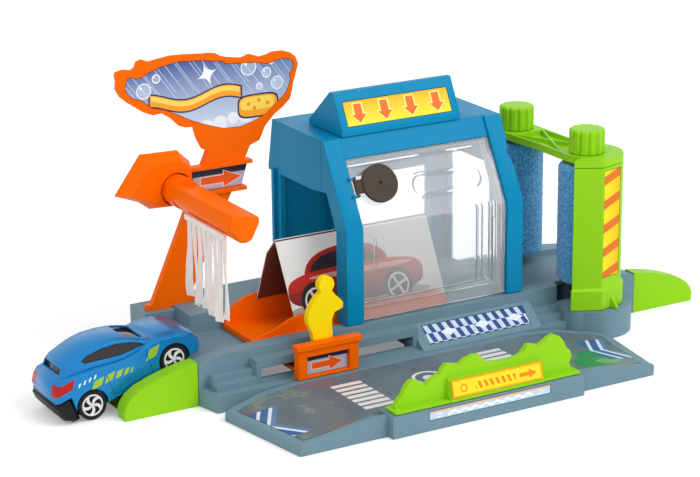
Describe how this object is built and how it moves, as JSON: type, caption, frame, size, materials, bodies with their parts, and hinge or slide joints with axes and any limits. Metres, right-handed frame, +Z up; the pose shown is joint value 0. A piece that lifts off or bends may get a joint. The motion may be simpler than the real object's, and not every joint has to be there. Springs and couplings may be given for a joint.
{
  "type": "toy car wash playset",
  "caption": "Car wash playset with ramps, a sliding tray, a swinging boom with a strip curtain, spinning foam rollers and a rolling toy car.",
  "frame": {"origin": "centre of the whole set's box, on the floor", "axes": "+X along the road from the entry ramp to the exit ramp, +Y to the back, away from the forecourt, +Z up"},
  "size_m": [0.3384, 0.152, 0.1443],
  "materials": {
    "slate_plastic": "satin moulded plastic",
    "blue_plastic": "glossy moulded plastic",
    "lime_plastic": "glossy moulded plastic",
    "orange_plastic": "glossy moulded plastic",
    "yellow_plastic": "satin moulded plastic",
    "blue_foam": "open-cell sponge foam",
    "cream_cloth": "soft non-woven cloth",
    "brown_rubber": "dull rubber",
    "clear_plastic": "frosted clear plastic",
    "screw_steel": "zinc-plated steel",
    "car_enamel": "metallic enamel",
    "black_plastic": "satin black plastic",
    "dark_glazing": "dark tinted clear plastic",
    "printed_card": "laminated printed card",
    "yellow_label": "glossy printed sticker",
    "blue_label": "glossy printed sticker",
    "navy_label": "glossy printed sticker",
    "sky_label": "glossy printed sticker",
    "road_label": "glossy printed sticker"
  },
  "bodies": {
    "base": {"base_shell": "slate_plastic", "entry_ramp": "lime_plastic", "exit_ramp": "lime_plastic", "checker_label": "sky_label", "forecourt": "slate_plastic", "forecourt_sticker": "road_label", "forecourt_label": "sky_label", "hedge": "lime_plastic", "hedge_label": "yellow_label", "house_front": "blue_plastic", "house_rear": "blue_plastic", "roof_hood": "blue_plastic", "roof_label": "yellow_label", "water_window": "clear_plastic", "tower": "orange_plastic", "tower_sign_label": "blue_label", "tower_arrow_label": "navy_label", "roller_bridge": "lime_plastic", "roller_column": "lime_plastic", "column_label": "yellow_label"},
    "carriage": {"carriage_tray": "orange_plastic", "carriage_arm": "orange_plastic", "carriage_label": "navy_label", "carriage_screw": "screw_steel", "attendant": "yellow_plastic", "tent_card": "printed_card"},
    "front_roller": {"front_roller_foam": "blue_foam", "front_roller_knob": "lime_plastic", "front_roller_shaft": "lime_plastic"},
    "back_roller": {"back_roller_foam": "blue_foam", "back_roller_knob": "lime_plastic", "back_roller_shaft": "lime_plastic"},
    "boom": {"boom": "orange_plastic", "boom_screw": "screw_steel", "wash_curtain": "cream_cloth"},
    "cap": {"filler_cap": "brown_rubber"},
    "car_rear": {"car_rear_axle": "screw_steel"},
    "car": {"car_body": "car_enamel", "car_windows": "dark_glazing", "car_chassis": "black_plastic", "car_front_axle": "screw_steel"},
    "rear_wheel_near": {"car_rear_wheel_near": "black_plastic"},
    "rear_wheel_far": {"car_rear_wheel_far": "black_plastic"},
    "front_wheel_near": {"car_front_wheel_near": "black_plastic"},
    "front_wheel_far": {"car_front_wheel_far": "black_plastic"}
  },
  "joints": [
    {"name": "carriage_slide", "type": "slide", "parent": "base", "child": "carriage", "axis": [1, 0, 0], "range_m": [-0.014, 0.033]},
    {"name": "front_roller_spin", "type": "hinge", "parent": "base", "child": "front_roller", "pos_m": [0.09826, -0.0017, 0.024], "axis": [0, 0, 1], "continuous": true},
    {"name": "back_roller_spin", "type": "hinge", "parent": "base", "child": "back_roller", "pos_m": [0.09526, 0.0525, 0.024], "axis": [0, 0, 1], "continuous": true},
    {"name": "boom_swing", "type": "hinge", "parent": "base", "child": "boom", "pos_m": [-0.08994, 0.0573, 0.0846], "axis": [0, 1, 0], "range_deg": [-20, 20]},
    {"name": "cap_hinge", "type": "hinge", "parent": "base", "child": "cap", "pos_m": [-0.01914, 0.01156, 0.0841], "axis": [0, -0.4846, -0.8747], "range_deg": [0, 95]},
    {"name": "car_roll", "type": "slide", "parent": "base", "child": "car_rear", "axis": [1, 0, 0], "range_m": [-0.038, 0]},
    {"name": "car_pitch", "type": "hinge", "parent": "car_rear", "child": "car", "pos_m": [-0.15204, 0.02425, 0.0069], "axis": [0, -1, 0], "range_deg": [-19, 0]},
    {"name": "rear_wheel_near_spin", "type": "hinge", "parent": "car_rear", "child": "rear_wheel_near", "pos_m": [-0.15204, 0.02425, 0.0069], "axis": [0, 1, 0], "continuous": true},
    {"name": "rear_wheel_far_spin", "type": "hinge", "parent": "car_rear", "child": "rear_wheel_far", "pos_m": [-0.15204, 0.02425, 0.0069], "axis": [0, 1, 0], "continuous": true},
    {"name": "front_wheel_near_spin", "type": "hinge", "parent": "car", "child": "front_wheel_near", "pos_m": [-0.11251, 0.02425, 0.02051], "axis": [0, 1, 0], "continuous": true},
    {"name": "front_wheel_far_spin", "type": "hinge", "parent": "car", "child": "front_wheel_far", "pos_m": [-0.11251, 0.02425, 0.02051], "axis": [0, 1, 0], "continuous": true}
  ],
  "couplings": [
    {"joint": "car_pitch", "follows": "car_roll", "rad_per_m": 8.72}
  ]
}
